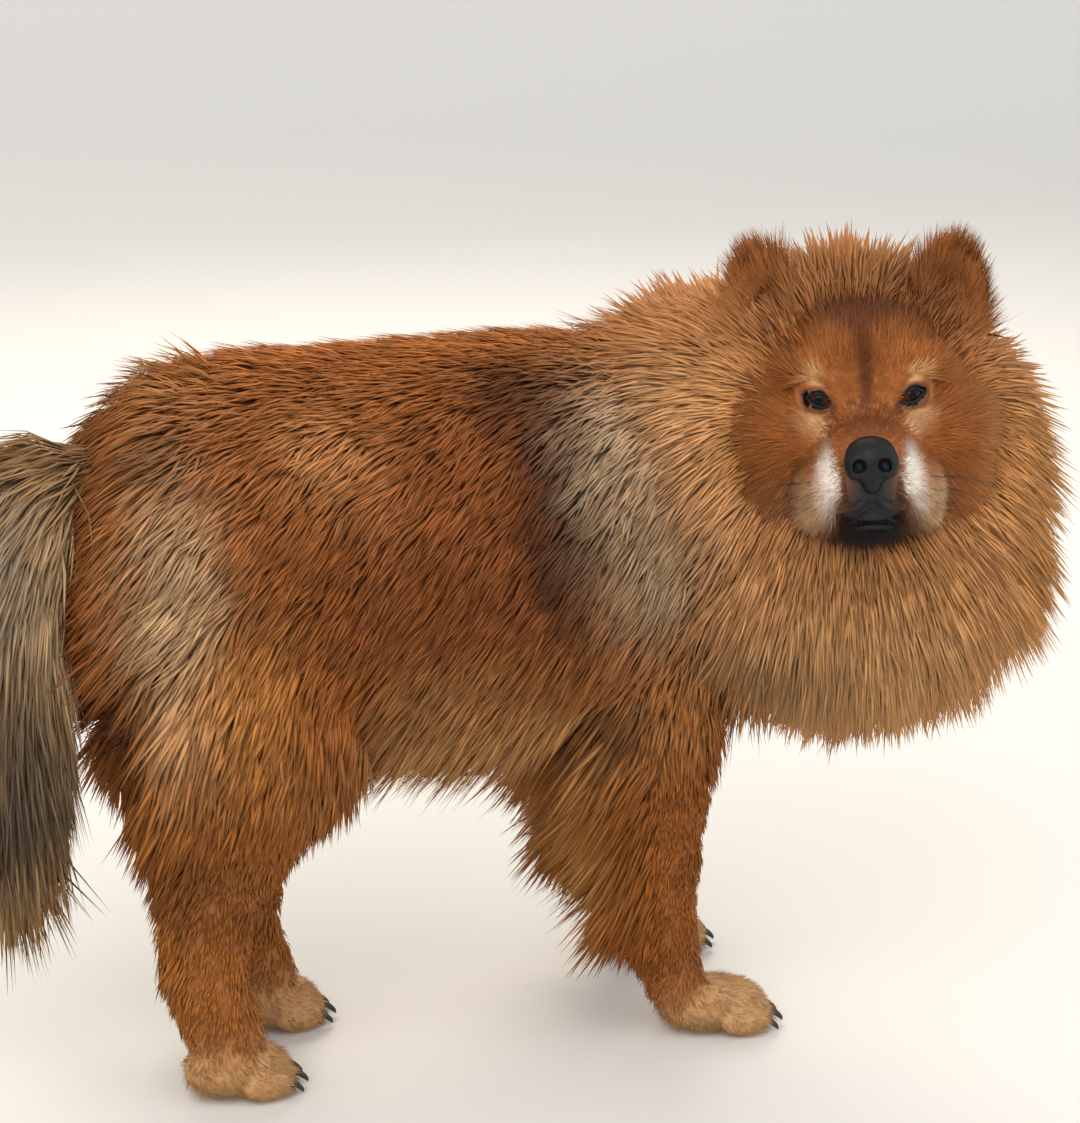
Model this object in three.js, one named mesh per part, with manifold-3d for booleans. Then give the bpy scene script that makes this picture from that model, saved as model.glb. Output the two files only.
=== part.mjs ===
// A chow chow standing still with its head turned to its right, as a life-size museum model.
// Millimetres. +X is the way the body faces, +Y its left and +Z up. It is built round a point on
// the floor between the paws, then moved so that the origin is under the middle of the model.
import * as THREE from "three";
import { mergeVertices } from "three/addons/utils/BufferGeometryUtils.js";
import Module from "manifold-3d";

const wasm = await Module();
wasm.setup();

const point = (x, y, z) => new THREE.Vector3(x, y, z);
const up = point(0, 0, 1);
const forward = point(1, 0, 0);

// Driving sizes
const gap = 0.3; // kept between touching nodes
const crumb = 0.01; // slivers smaller than this, left by a cut, are smoothed away
const backHeight = 606; // out to the tips of the coat, as all the forms of the body are
const bellyHeight = 252;
const barrelWidth = 302;
const rumpX = -320;
const chestX = 288;
const foreX = 158; // the line of the forelegs
const foreY = 84;
const hindX = -228; // the line of the hind pasterns
const hindY = 78;
const ankleHeight = 12; // the legs' lower ends stop this far above the floor, inside the paws
const skull = point(309, -120, 553); // middle of the skull
const headTurn = -110; // degrees, from straight ahead to the dog's right
const headRaise = 5;
const headRoll = 3.5;
const eyeSpacing = 69.5;
const eyeRadius = 12.5;
const noseWidth = 42;
const tailLength = 364;

// Solids from three.js geometry, and back

function solidFrom(geometry) {
  const bare = geometry.clone();
  bare.deleteAttribute("normal");
  bare.deleteAttribute("uv");
  const merged = mergeVertices(bare, 1e-3);
  const corners = merged.index.array;
  const kept = [];
  for (let i = 0; i < corners.length; i += 3) {
    const [a, b, c] = [corners[i], corners[i + 1], corners[i + 2]];
    if (a !== b && b !== c && c !== a) kept.push(a, b, c);
  }
  return new wasm.Manifold(
    new wasm.Mesh({
      numProp: 3,
      vertProperties: new Float32Array(merged.attributes.position.array),
      triVerts: new Uint32Array(kept),
    }),
  );
}

function geometryFrom(solid) {
  const mesh = solid.simplify(crumb).getMesh();
  const geometry = new THREE.BufferGeometry();
  geometry.setAttribute("position", new THREE.BufferAttribute(mesh.vertProperties, 3));
  geometry.setIndex(new THREE.BufferAttribute(mesh.triVerts, 1));
  geometry.computeVertexNormals();
  return geometry;
}

const joined = (solids) => solids.reduce((all, one) => all.add(one));
const without = (solid, cutters) => cutters.reduce((left, one) => left.subtract(one), solid);

function largest(solid) {
  const bodies = solid.decompose();
  return bodies.reduce((best, one) => (one.volume() > best.volume() ? one : best));
}

// Forms

// A smooth value between the named ones, share running from 0 to 1.
function valueAt(values, share) {
  return new THREE.CatmullRomCurve3(values.map((v, i) => point(i, v, 0))).getPoint(share).y;
}

// A rounded form along a path. Each station is [place, half width, half height], and tallWay is
// where its height points. Angles run from 0 on its right over 90 at the top to 180 on its left.
function bentForm(stations, { tallWay = up, around = 14, steps = 9, caps = [0.16, 0.16] } = {}) {
  const path = new THREE.CatmullRomCurve3(stations.map((s) => s[0]));
  const widths = stations.map((s) => s[1]);
  const heights = stations.map((s) => s[2]);
  const shares = Array.from({ length: steps + 1 }, (_, i) => {
    const even = i / steps;
    return 0.35 * even + 0.65 * (0.5 - 0.5 * Math.cos(Math.PI * even));
  });
  const roundingAt = (share) => {
    const start = 1 - Math.min(1, share / caps[0]);
    const end = 1 - Math.min(1, (1 - share) / caps[1]);
    return Math.sqrt(Math.max(0, (1 - start ** 2) * (1 - end ** 2)));
  };
  const surface = (share, degrees, grow) => {
    const ahead = path.getTangent(share);
    const tall = tallWay.clone().addScaledVector(ahead, -tallWay.dot(ahead)).normalize();
    const across = new THREE.Vector3().crossVectors(ahead, tall);
    const angle = THREE.MathUtils.degToRad(degrees);
    const width = valueAt(widths, share) * roundingAt(share) + grow;
    const height = valueAt(heights, share) * roundingAt(share) + grow;
    const place = path.getPoint(share);
    place.addScaledVector(across, Math.cos(angle) * width);
    place.addScaledVector(tall, Math.sin(angle) * height);
    return { place, ahead };
  };
  const solid = (grow = 0) => {
    const profile = shares.map((_, i) => new THREE.Vector2(i === 0 || i === steps ? 0 : 1, i));
    const skin = new THREE.LatheGeometry(profile, around);
    const corners = skin.attributes.position;
    for (let i = 0; i < corners.count; i++) {
      const ring = Math.round(corners.getY(i));
      const degrees = THREE.MathUtils.radToDeg(Math.atan2(corners.getZ(i), corners.getX(i)));
      const pole = ring === 0 || ring === steps;
      const { ahead, place } = surface(shares[ring], degrees, grow);
      const at = pole ? path.getPoint(shares[ring]) : place;
      if (pole) at.addScaledVector(ahead, ring === 0 ? -grow : grow);
      corners.setXYZ(i, at.x, at.y, at.z);
    }
    return solidFrom(skin);
  };
  return { solid };
}

// A rounded lump: radii along x, y and z round a centre.
function lump(centre, radii, grow = 0, [around, rows] = [10, 6]) {
  const ball = new THREE.SphereGeometry(1, around, rows);
  ball.rotateX(Math.PI / 2);
  ball.scale(radii[0] + grow, radii[1] + grow, radii[2] + grow);
  ball.translate(centre.x, centre.y, centre.z);
  return solidFrom(ball);
}

// Torso: one smooth form from the breast to the rump, out to the tips of its coat

const barrel = (() => {
  const middle = (backHeight + bellyHeight) / 2;
  const half = (backHeight - bellyHeight) / 2;
  const wide = barrelWidth / 2;
  return bentForm(
    [
      [point(rumpX, 0, middle + 64), 0.5 * wide, 0.44 * half],
      [point(rumpX + 38, 0, middle + 38), 0.8 * wide, 0.76 * half],
      [point(rumpX + 100, 0, middle + 14), 0.94 * wide, 0.92 * half],
      [point(-95, 0, middle + 4), 0.99 * wide, 0.98 * half],
      [point(10, 0, middle), wide, half],
      [point(110, 0, middle - 6), wide, 1.02 * half],
      [point(200, 0, middle - 8), 0.92 * wide, 0.95 * half],
      [point(chestX, 0, middle - 2), 0.62 * wide, 0.66 * half],
    ],
    { around: 26, steps: 16, caps: [0.12, 0.14] },
  );
})();

// The head's frame in the dog's
const headGroup = new THREE.Group();
headGroup.position.copy(skull);
headGroup.rotation.order = "ZYX";
headGroup.rotation.set(...[headRoll, -headRaise, headTurn].map(THREE.MathUtils.degToRad));
headGroup.updateMatrix();
const inDogFrame = (solid) => solid.transform(headGroup.matrix.elements);

// Neck and mane: shoulders and throat, then the bib and the ruff, which turn with the head.
// The neck bends more tightly than it is wide, so it is joined from lumps, which can't fold.

const shoulderLumps = [
  [point(196, -20, 492), [138, 122, 142]],
  [point(258, -34, 484), [140, 98, 166]],
];
const ruffLumps = [
  [point(-14, -14, -150), [84, 168, 124]],
  [point(-22, -20, -60), [80, 187, 206]],
];
const lumpsOf = (rows, facets) => joined(rows.map(([centre, radii]) => lump(centre, radii, 0, facets)));
const mane = lumpsOf(shoulderLumps, [24, 15]).add(inDogFrame(lumpsOf(ruffLumps, [28, 18])));

// Legs

// mirror is -1 for the dog's right and 1 for its left.
function foreleg(mirror, reach) {
  const y = mirror * foreY;
  const x = foreX + reach;
  return bentForm(
    [
      [point(foreX + 2, y * 0.86, 395), 58, 68],
      [point(foreX - 8, y * 0.94, 320), 59, 74],
      [point(foreX - 14 + 0.2 * reach, y, 250), 54, 72],
      [point(foreX - 14 + 0.6 * reach, y, 178), 46, 60],
      [point(x - 5, y, 112), 41, 46],
      [point(x + 7, y, 62), 39, 41],
      [point(x + 18, y, 28), 36, 39],
    ],
    { tallWay: forward, around: 16, steps: 10, caps: [0.16, 0.1] },
  );
}

function hindleg(mirror, pawX, pawY) {
  const y = mirror * hindY;
  return bentForm(
    [
      [point(hindX + 46, y * 0.8, 455), 62, 90],
      [point(hindX + 46, y * 0.96, 380), 70, 106],
      [point(hindX + 43, y * 1.06, 305), 66, 100],
      [point(hindX + 16, (y * 1.06 + pawY) / 2, 225), 52, 72],
      [point(pawX - 26, pawY, 158), 42, 50],
      [point(pawX - 26, pawY, 100), 38, 44],
      [point(pawX - 14, pawY, 56), 38, 44],
      [point(pawX - 2, pawY, 28), 35, 38],
    ],
    { tallWay: forward, around: 16, steps: 12, caps: [0.16, 0.1] },
  );
}

// A paw in its own frame: toes along +X, the origin on the floor under its middle.
function pawSolid(length, grow = 0) {
  const half = length / 2;
  const pad = bentForm(
    [
      [point(-half + 6, 0, 20), 22, 24],
      [point(-half + 26, 0, 22), 30, 30],
      [point(2, 0, 22), 32, 30],
      [point(half - 26, 0, 18), 28, 24],
    ],
    { around: 12, steps: 6, caps: [0.3, 0.3] },
  ).solid(grow);
  const toes = [-1.5, -0.5, 0.5, 1.5].map((place) => {
    const inner = Math.abs(place) < 1;
    const centre = point(half - (inner ? 22 : 31), place * 17, 15);
    return lump(centre, [22, 11.5, 18], grow, [9, 6]);
  });
  const claws = [-1.5, -0.5, 0.5, 1.5].map((place) => {
    const inner = Math.abs(place) < 1;
    const claw = new THREE.ConeGeometry(4 + grow, 20, 6, 1);
    claw.rotateZ(-Math.PI / 2 - 0.42);
    claw.translate(half - (inner ? 2 : 11), place * 17, 8.5);
    return solidFrom(claw);
  });
  const below = new THREE.BoxGeometry(400, 400, 100);
  below.translate(0, 0, -50);
  return joined([pad, ...toes, ...claws]).subtract(solidFrom(below));
}

const legs = [
  {
    name: "foreleg_right",
    paw: "paw_front_right",
    form: foreleg(-1, 0),
    at: point(foreX + 48, -foreY, 0),
    length: 102,
    turn: -4,
  },
  {
    name: "foreleg_left",
    paw: "paw_front_left",
    form: foreleg(1, 10),
    at: point(foreX + 50, foreY, 0),
    length: 102,
    turn: 3,
  },
  {
    name: "hindleg_right",
    paw: "paw_hind_right",
    form: hindleg(-1, -202, -82),
    at: point(-205, -82, 0),
    length: 94,
    turn: 4,
  },
  {
    name: "hindleg_left",
    paw: "paw_hind_left",
    form: hindleg(1, -150, 34),
    at: point(-153, 34, 0),
    length: 94,
    turn: 6,
  },
];

// Tail: it drops from the rump in one full plume

const tailRoot = 512;
const tail = bentForm(
  [
    [point(rumpX + 48, 0, tailRoot), 50, 48],
    [point(rumpX + 6, -8, tailRoot - 8), 76, 68],
    [point(rumpX - 36, -22, tailRoot - 66), 94, 80],
    [point(rumpX - 54, -36, tailRoot - 146), 96, 82],
    [point(rumpX - 58, -44, tailRoot - 0.62 * tailLength), 82, 72],
    [point(rumpX - 52, -48, tailRoot - tailLength), 50, 44],
  ],
  { tallWay: point(-1, 0, 0.4), around: 18, steps: 12, caps: [0.16, 0.24] },
);

// Head, in its own frame: +X is where the nose points, +Y its left, and the skull's middle is 0

const sides = [-1, 1];
const eyeAt = (side) => point(60, (side * eyeSpacing) / 2, 11);
const noseAt = point(113, 0, -30);

const muzzle = bentForm(
  [
    [point(30, 0, -24), 56, 50],
    [point(70, 0, -30), 48, 42],
    [point(100, 0, -34), 40, 33],
    [point(112, 0, -36), 30, 25],
  ],
  { around: 18, steps: 8, caps: [0.2, 0.24] },
);

const headForm = (grow = 0) => {
  const skullLump = lump(point(0, 0, 4), [80, 78, 66], grow, [20, 12]);
  const forehead = lump(point(30, 0, 34), [46, 58, 34], grow, [16, 10]);
  const cheeks = sides.map((side) => lump(point(24, side * 50, -26), [54, 46, 54], grow, [16, 10]));
  const brows = sides.map((side) => lump(point(58, side * 38, 33), [17, 25, 11], grow, [12, 8]));
  const lips = sides.map((side) => lump(point(78, side * 31, -54), [32, 26, 24], grow, [14, 9]));
  const lids = sides.map((side) => {
    const ring = new THREE.TorusGeometry(eyeRadius + 1.5, 4 + grow, 6, 14);
    ring.rotateY(Math.PI / 2);
    ring.scale(1, 1.15, 0.72);
    const at = eyeAt(side);
    ring.translate(at.x + 8, at.y, at.z);
    return solidFrom(ring);
  });
  return joined([skullLump, forehead, muzzle.solid(grow), ...cheeks, ...brows, ...lips, ...lids]);
};

const jawForm = (grow = 0) =>
  bentForm(
    [
      [point(34, 0, -72), 34, 18],
      [point(70, 0, -74), 31, 17],
      [point(98, 0, -70), 22, 13],
    ],
    { around: 16, steps: 7, caps: [0.3, 0.35] },
  ).solid(grow);

const noseForm = (grow = 0) => {
  const wing = noseWidth / 2;
  const pad = lump(noseAt, [15, wing, 17], grow, [12, 7]);
  const top = lump(point(noseAt.x - 5, 0, noseAt.z + 6), [15, wing - 3, 13], grow, [10, 6]);
  return pad.add(top);
};

const nostrils = sides.map((side) => {
  const centre = point(noseAt.x + 13, side * 11, noseAt.z - 1);
  return lump(centre, [9, 4.5, 5.5], 0, [8, 6]);
});
const philtrum = (() => {
  const cut = new THREE.BoxGeometry(12, 1.6, 30);
  cut.translate(noseAt.x + 16, 0, noseAt.z - 14);
  return solidFrom(cut);
})();

const eyeSolid = (side, grow = 0) => lump(eyeAt(side), [eyeRadius, eyeRadius, eyeRadius], grow, [12, 8]);

// An ear: a thick furred leaf with a cup opened in its face.
function earSolid(side, grow = 0) {
  const leaf = bentForm(
    [
      [point(-10, side * 54, 44), 34, 22],
      [point(-1, side * 66, 70), 31, 19],
      [point(9, side * 76, 98), 26, 15],
      [point(16, side * 82, 124), 13, 9],
    ],
    { tallWay: forward, around: 12, steps: 6, caps: [0.2, 0.34] },
  ).solid(grow);
  const cup = bentForm(
    [
      [point(23, side * 62, 66), 15, 15],
      [point(27, side * 71, 88), 14, 14],
      [point(31, side * 77, 108), 6, 8],
    ],
    { tallWay: forward, around: 10, steps: 5, caps: [0.3, 0.4] },
  ).solid();
  return grow > 0 ? leaf : leaf.subtract(cup);
}

const materials = {
  coat: new THREE.MeshStandardMaterial({ color: "#a8602c", roughness: 0.9 }),
  mane: new THREE.MeshStandardMaterial({ color: "#bd7f46", roughness: 0.9 }),
  leg: new THREE.MeshStandardMaterial({ color: "#9c5625", roughness: 0.9 }),
  paw: new THREE.MeshStandardMaterial({ color: "#d0a06c", roughness: 0.85 }),
  face: new THREE.MeshStandardMaterial({ color: "#b1642c", roughness: 0.9 }),
  ear: new THREE.MeshStandardMaterial({ color: "#7c4220", roughness: 0.9 }),
  tail: new THREE.MeshStandardMaterial({ color: "#b59a78", roughness: 0.9 }),
  nose: new THREE.MeshStandardMaterial({ color: "#15181c", roughness: 0.45 }),
  lip: new THREE.MeshStandardMaterial({ color: "#262223", roughness: 0.6 }),
  eye: new THREE.MeshStandardMaterial({ color: "#1d110b", roughness: 0.12 }),
};

// Each node is cut clear of every form placed before it, by the gap, and keeps its largest body.
const dog = new THREE.Group();
const placed = [];

function node(name, solid, material) {
  const mesh = new THREE.Mesh(geometryFrom(largest(solid)), material);
  mesh.name = name;
  return mesh;
}

const fitted = (solid) => without(solid, placed);

// Head: eyes, ears and nose keep their forms, then the head and the jaw are cut to them
const eyesGrown = sides.map((side) => eyeSolid(side, gap));
const earsGrown = sides.map((side) => earSolid(side, gap));
for (const side of sides) {
  const hand = side < 0 ? "right" : "left";
  headGroup.add(node(`eye_${hand}`, eyeSolid(side), materials.eye));
  headGroup.add(node(`ear_${hand}`, earSolid(side), materials.ear));
}
headGroup.add(node("nose", without(noseForm(), [...nostrils, philtrum]), materials.nose));
const headCutters = [noseForm(gap), philtrum, ...eyesGrown, ...earsGrown];
headGroup.add(node("head", without(headForm(), headCutters), materials.face));
headGroup.add(node("lower_jaw", without(jawForm(), [headForm(gap), noseForm(gap)]), materials.lip));
dog.add(headGroup);
placed.push(inDogFrame(joined([headForm(gap), jawForm(gap), noseForm(gap), ...eyesGrown, ...earsGrown])));

// Paws, legs and tail, which are cut to the torso, then the mane and the torso itself
const barrelGrown = barrel.solid(gap);
for (const { name, paw, form, at, length, turn } of legs) {
  const group = new THREE.Group();
  group.position.copy(at);
  group.rotation.z = THREE.MathUtils.degToRad(turn);
  group.updateMatrix();
  group.add(node(paw, pawSolid(length), materials.paw));
  placed.push(pawSolid(length, gap).transform(group.matrix.elements));
  const ankle = new THREE.BoxGeometry(400, 400, 2 * ankleHeight);
  ankle.translate(at.x, at.y, 0);
  const leg = fitted(form.solid().subtract(solidFrom(ankle))).subtract(barrelGrown);
  dog.add(group, node(name, leg, materials.leg));
  placed.push(form.solid(gap));
}
placed.push(barrelGrown);
dog.add(node("tail", fitted(tail.solid()), materials.tail));
dog.add(node("neck_mane", fitted(mane), materials.mane));
dog.add(node("torso", barrel.solid(), materials.coat));

// The origin goes under the middle of the model.
const bounds = new THREE.Box3().setFromObject(dog, true);
const middle = bounds.getCenter(new THREE.Vector3());
dog.position.set(-middle.x, -middle.y, 0);

export default dog;
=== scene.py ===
# A chow chow standing still with its head turned to its right, as a life-size museum model.
# Metres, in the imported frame. Places are given in the dog's own frame, whose origin is on the floor
# between the paws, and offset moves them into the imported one.
import math

import bpy
import bmesh
import numpy as np
import openvdb
from mathutils import Matrix, Vector, kdtree


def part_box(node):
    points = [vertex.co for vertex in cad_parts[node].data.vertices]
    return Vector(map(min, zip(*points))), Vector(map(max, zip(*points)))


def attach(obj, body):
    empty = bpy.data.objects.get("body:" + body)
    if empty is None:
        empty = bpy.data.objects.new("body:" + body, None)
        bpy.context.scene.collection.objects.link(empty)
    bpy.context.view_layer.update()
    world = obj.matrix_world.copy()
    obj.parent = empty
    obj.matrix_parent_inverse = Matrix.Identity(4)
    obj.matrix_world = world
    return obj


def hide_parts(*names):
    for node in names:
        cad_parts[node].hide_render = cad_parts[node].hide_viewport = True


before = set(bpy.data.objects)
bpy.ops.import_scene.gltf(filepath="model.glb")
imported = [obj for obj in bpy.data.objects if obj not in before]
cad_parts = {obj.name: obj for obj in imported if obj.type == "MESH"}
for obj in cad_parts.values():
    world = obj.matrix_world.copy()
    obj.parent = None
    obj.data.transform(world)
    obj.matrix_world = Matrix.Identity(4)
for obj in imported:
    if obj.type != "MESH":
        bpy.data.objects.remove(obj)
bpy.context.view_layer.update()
draw = np.random.default_rng(7)
up = np.array([0.0, 0.0, 1.0])
forward = np.array([1.0, 0.0, 0.0])


# Helpers
def toLinear(hexColour):
    channels = [int(hexColour[i : i + 2], 16) / 255 for i in (1, 3, 5)]
    return np.array([c / 12.92 if c <= 0.04045 else ((c + 0.055) / 1.055) ** 2.4 for c in channels])


def unit(vectors):
    return vectors / (np.linalg.norm(vectors, axis=-1, keepdims=True) + 1e-12)


def fade(values, start, end):
    share = np.clip((values - start) / (end - start), 0, 1)
    return share * share * (3 - 2 * share)


def smoothMin(a, b, reach):
    share = np.clip(0.5 + 0.5 * (b - a) / reach, 0, 1)
    return b + (a - b) * share - reach * share * (1 - share)


def carve(d, tool, reach):
    return -smoothMin(-d, tool, reach)


def smoothPath(stations, count):
    stations = np.array(stations, float)
    ends = [2 * stations[0] - stations[1], 2 * stations[-1] - stations[-2]]
    padded = np.vstack([ends[0], stations, ends[1]])
    places = np.linspace(0, len(stations) - 1, count)
    first = np.minimum(places.astype(int), len(stations) - 2)
    f = (places - first)[:, None]
    a, b, c, d = (padded[first + i] for i in range(4))
    return 0.5 * (2 * b + (c - a) * f + (2 * a - 5 * b + 4 * c - d) * f**2 + (3 * b - a - 3 * c + d) * f**3)


def meshObject(name, points, triangles, material, colours=None):
    mesh = bpy.data.meshes.new(name)
    mesh.vertices.add(len(points))
    mesh.vertices.foreach_set("co", (points + offset).astype(np.float32).ravel())
    mesh.loops.add(triangles.size)
    mesh.loops.foreach_set("vertex_index", triangles.astype(np.int32).ravel())
    mesh.polygons.add(len(triangles))
    mesh.polygons.foreach_set("loop_start", np.arange(0, triangles.size, 3, dtype=np.int32))
    mesh.polygons.foreach_set("use_smooth", np.ones(len(triangles), bool))
    mesh.update(calc_edges=True)
    if colours is not None:
        rgba = np.ones((len(points), 4), np.float32)
        rgba[:, :3] = colours
        colourLayer = mesh.attributes.new("coatColour", "FLOAT_COLOR", "POINT")
        colourLayer.data.foreach_set("color", rgba.ravel())
    mesh.materials.append(material)
    made = bpy.data.objects.new(name, mesh)
    bpy.context.scene.collection.objects.link(made)
    return made


def place(piece, slotName, *nodes):
    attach(piece, "root")
    if nodes:
        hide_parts(*nodes)
    return piece


# Sizes shared with the solids
skull = np.array([0.309, -0.120, 0.553])
headTurn, headRaise, headRoll = -110, 5, 3.5
eyeSpacing = 0.0695
eyeRadius = 0.0125
sides = (-1, 1)
headSpin = (
    Matrix.Rotation(math.radians(headTurn), 3, "Z")
    @ Matrix.Rotation(math.radians(-headRaise), 3, "Y")
    @ Matrix.Rotation(math.radians(headRoll), 3, "X")
)
headAxes = np.array(headSpin)


def fromHead(points):
    return np.atleast_2d(points) @ headAxes.T + skull


def toHead(points):
    return (points - skull) @ headAxes


def eyeAt(side):
    return np.array([0.060, side * eyeSpacing / 2, 0.011])


low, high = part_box("eye_right")
offset = (np.array(low) + np.array(high)) / 2 - fromHead(eyeAt(-1))[0]
print("frame loaded, offset", offset.round(4))


# Forms of the body: each gives a distance, and together they make one skin
forms = []


def addForm(group, field, low, high, blend):
    box = {"low": np.array(low), "high": np.array(high)}
    forms.append({"group": group, "field": field, "blend": blend, **box})


# a rounded form along a path of stations: place, half width and half height
def swept(group, stations, tall=up, caps=(0.16, 0.16), inset=0.0, blend=0.02, count=30):
    path = smoothPath(stations, 400)
    run = np.concatenate([[0], np.cumsum(np.linalg.norm(np.diff(path[:, :3], axis=0), axis=1))])
    shares = np.linspace(0.5 * caps[0], 1 - 0.5 * caps[1], count)
    picked = np.array([np.interp(shares * run[-1], run, path[:, i]) for i in range(5)]).T
    centres, widths, heights = picked[:, :3], picked[:, 3] - inset, picked[:, 4] - inset
    ahead = unit(np.gradient(centres, axis=0))
    talls = unit(tall - (ahead @ tall)[:, None] * ahead)
    across = np.cross(ahead, talls)
    capDepth = (0.5 * caps[0] * run[-1], 0.5 * caps[1] * run[-1])

    def field(p):
        near = np.argmin(((p[:, None, :] - centres[None]) ** 2).sum(2), axis=1)
        local = p - centres[near]
        along = (local * ahead[near]).sum(1)
        beyond = np.where(near == 0, np.minimum(along, 0) / capDepth[0], 0)
        beyond = np.where(near == count - 1, np.maximum(along, 0) / capDepth[1], beyond)
        sideways = (local * across[near]).sum(1) / widths[near]
        upright = (local * talls[near]).sum(1) / heights[near]
        q = np.stack([sideways, upright, beyond], 1)
        capHere = np.where(near == 0, capDepth[0], capDepth[1])
        reach = np.stack([widths[near], heights[near], capHere], 1)
        size = np.linalg.norm(q, axis=1)
        return size * (size - 1) / (np.linalg.norm(q / reach, axis=1) + 1e-9)

    spread = np.maximum(widths, heights).max() + 0.03
    addForm(group, field, centres.min(0) - spread, centres.max(0) + spread, blend)
    return {"centres": centres, "ahead": ahead}


def ellipsoid(p, centre, radii):
    q = (p - np.array(centre)) / np.array(radii)
    size = np.linalg.norm(q, axis=1)
    return size * (size - 1) / (np.linalg.norm(q / np.array(radii), axis=1) + 1e-9)


def rod(p, start, end, radius):
    start, end = np.array(start, float), np.array(end, float)
    run = end - start
    share = np.clip(((p - start) @ run) / (run @ run), 0, 1)
    return np.linalg.norm(p - start - share[:, None] * run, axis=1) - radius


# The barrel, neck, legs and tail under the coat: x, y, z, half width, half height
swept(
    "torso",
    [
        [-0.292, 0, 0.504, 0.066, 0.063],
        [-0.254, 0, 0.478, 0.103, 0.109],
        [-0.192, 0, 0.452, 0.123, 0.133],
        [-0.095, 0, 0.437, 0.129, 0.145],
        [0.010, 0, 0.432, 0.132, 0.151],
        [0.110, 0, 0.428, 0.132, 0.152],
        [0.200, 0, 0.428, 0.119, 0.140],
        [0.272, 0, 0.434, 0.079, 0.094],
    ],
    caps=(0.12, 0.14),
    inset=-0.005,
    blend=0.03,
    count=40,
)


# a rounded lump; turned puts it in the head's frame
def addLump(group, centre, radii, blend, turned=False):
    middle = fromHead(centre)[0] if turned else np.array(centre)
    shift = toHead if turned else (lambda p: p)
    reach = max(radii) + 0.03
    addForm(group, lambda p: ellipsoid(shift(p), centre, radii), middle - reach, middle + reach, blend)


# the shoulders and throat, then the bib and the ruff, which turn with the head
addLump("mane", (0.208, -0.018, 0.488), (0.090, 0.094, 0.104), 0.03)
addLump("mane", (0.258, -0.034, 0.482), (0.102, 0.072, 0.126), 0.03)
addLump("mane", (-0.010, -0.014, -0.134), (0.056, 0.118, 0.088), 0.03, turned=True)
addLump("mane", (-0.012, -0.018, -0.052), (0.056, 0.138, 0.146), 0.04, turned=True)
tailPath = swept(
    "tail",
    [
        [-0.270, 0, 0.508, 0.030, 0.030],
        [-0.316, -0.008, 0.500, 0.046, 0.042],
        [-0.358, -0.022, 0.446, 0.058, 0.048],
        [-0.376, -0.036, 0.372, 0.060, 0.050],
        [-0.380, -0.044, 0.300, 0.050, 0.044],
        [-0.376, -0.048, 0.238, 0.028, 0.026],
    ],
    tall=np.array([-1, 0, 0.4]),
    inset=0.014,
    blend=0.02,
)
foreX, foreY = 0.158, 0.084
hindX, hindY = -0.228, 0.078


def foreleg(side, reach):
    y = side * foreY
    x = foreX + reach
    swept(
        "foreleg",
        [
            [foreX + 0.002, y * 0.86, 0.395, 0.046, 0.056],
            [foreX - 0.002, y * 0.94, 0.320, 0.047, 0.054],
            [foreX + 0.2 * reach, y, 0.250, 0.042, 0.047],
            [foreX + 0.6 * reach, y, 0.178, 0.035, 0.039],
            [x, y, 0.112, 0.031, 0.034],
            [x + 0.008, y, 0.062, 0.030, 0.031],
            [x + 0.018, y, 0.028, 0.027, 0.030],
        ],
        tall=forward,
        caps=(0.16, 0.1),
        inset=0.006,
    )


def hindleg(side, pawX, pawY):
    y = side * hindY
    swept(
        "hindleg",
        [
            [hindX + 0.052, y * 0.8, 0.455, 0.050, 0.074],
            [hindX + 0.055, y * 0.96, 0.380, 0.058, 0.088],
            [hindX + 0.052, y * 1.06, 0.305, 0.054, 0.084],
            [hindX + 0.022, (y * 1.06 + pawY) / 2, 0.225, 0.042, 0.060],
            [pawX - 0.024, pawY, 0.158, 0.033, 0.041],
            [pawX - 0.026, pawY, 0.100, 0.030, 0.036],
            [pawX - 0.014, pawY, 0.056, 0.030, 0.036],
            [pawX - 0.002, pawY, 0.028, 0.027, 0.030],
        ],
        tall=forward,
        caps=(0.16, 0.1),
        inset=0.006,
    )


foreleg(-1, 0)
foreleg(1, 0.010)
hindleg(-1, -0.202, -0.082)
hindleg(1, -0.150, 0.034)
paws = [
    {"name": "front_right", "at": (foreX + 0.048, -foreY), "length": 0.102, "turn": -4},
    {"name": "front_left", "at": (foreX + 0.050, foreY), "length": 0.102, "turn": 3},
    {"name": "hind_right", "at": (-0.205, -0.082), "length": 0.094, "turn": 4},
    {"name": "hind_left", "at": (-0.153, 0.034), "length": 0.094, "turn": 6},
]
toePlaces = (-1.5, -0.5, 0.5, 1.5)
toeStep = 0.017
soleHeight = 0.0015


def toeReach(toe):
    return 0.022 if abs(toe) < 1 else 0.031  # the outer toes stand further back


def pawField(p, paw):
    local = (p - paw["base"]) @ paw["axes"].T
    half = paw["length"] / 2
    d = ellipsoid(local, (-0.006, 0, 0.024), (half - 0.008, 0.028, 0.022))
    d = smoothMin(d, ellipsoid(local, (half - 0.030, 0, 0.019), (0.024, 0.027, 0.016)), 0.010)
    for toe in toePlaces:
        centre = (half - toeReach(toe), toe * toeStep, 0.014)
        d = smoothMin(d, ellipsoid(local, centre, (0.020, 0.0098, 0.0125)), 0.004)
    return np.maximum(d, soleHeight - local[:, 2])


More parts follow.
